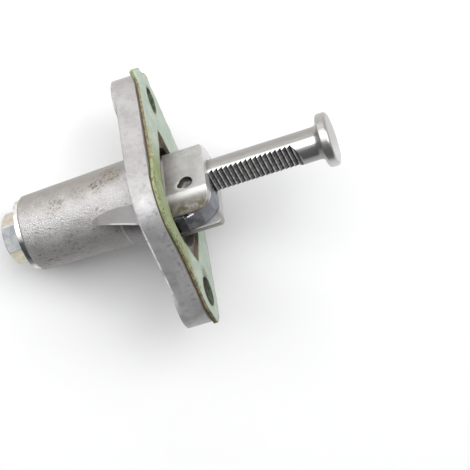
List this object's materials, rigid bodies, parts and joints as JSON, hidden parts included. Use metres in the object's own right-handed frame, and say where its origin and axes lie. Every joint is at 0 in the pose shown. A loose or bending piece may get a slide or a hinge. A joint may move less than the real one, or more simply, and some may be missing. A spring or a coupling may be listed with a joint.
{
  "type": "timing chain tensioner",
  "caption": "Used ratchet chain tensioner: cast lozenge-flanged housing, green paper gasket, sprung steel plunger with toothed rack and disc head, pawl, and hex plug at the rear.",
  "frame": {"origin": "middle of the line between the two bolt holes, on the flange's machined face under the gasket", "axes": "+X out of the flange, parallel to the plunger and towards its head, +Y along the line of the two bolt holes, +Z across the flange"},
  "size_m": [0.0748, 0.0573, 0.0372],
  "materials": {
    "cast_aluminium": "rough cast, machined faces",
    "gasket_paper": "matte paper",
    "plunger_steel": "polished",
    "pawl_steel": "dark hardened",
    "pin_steel": "dull",
    "spring_wire": "drawn wire",
    "plated_steel": "zinc plated",
    "washer_metal": "bright"
  },
  "bodies": {
    "housing": {"housing": "cast_aluminium", "gasket": "gasket_paper", "pawl_pin": "pin_steel", "pawl_spring": "spring_wire", "plunger_spring": "spring_wire", "plug_bolt": "plated_steel", "sealing_washer": "washer_metal"},
    "plunger": {"plunger": "plunger_steel"},
    "pawl": {"pawl": "pawl_steel"}
  },
  "joints": [
    {"name": "plunger_slide", "type": "slide", "parent": "housing", "child": "plunger", "axis": [1, 0, 0], "range_m": [-0.0198, 0], "stiffness_N_per_m": 1030, "springref_m": 0.0075, "deforming": ["plunger_spring"]},
    {"name": "pawl_pivot", "type": "hinge", "parent": "housing", "child": "pawl", "pos_m": [0.0046, -0.00147, 0.00283], "axis": [0, -0.6428, -0.766], "range_deg": [0, 12], "stiffness_Nm_per_rad": 0.004, "springref_deg": -34.38, "deforming": ["pawl_spring"]}
  ]
}
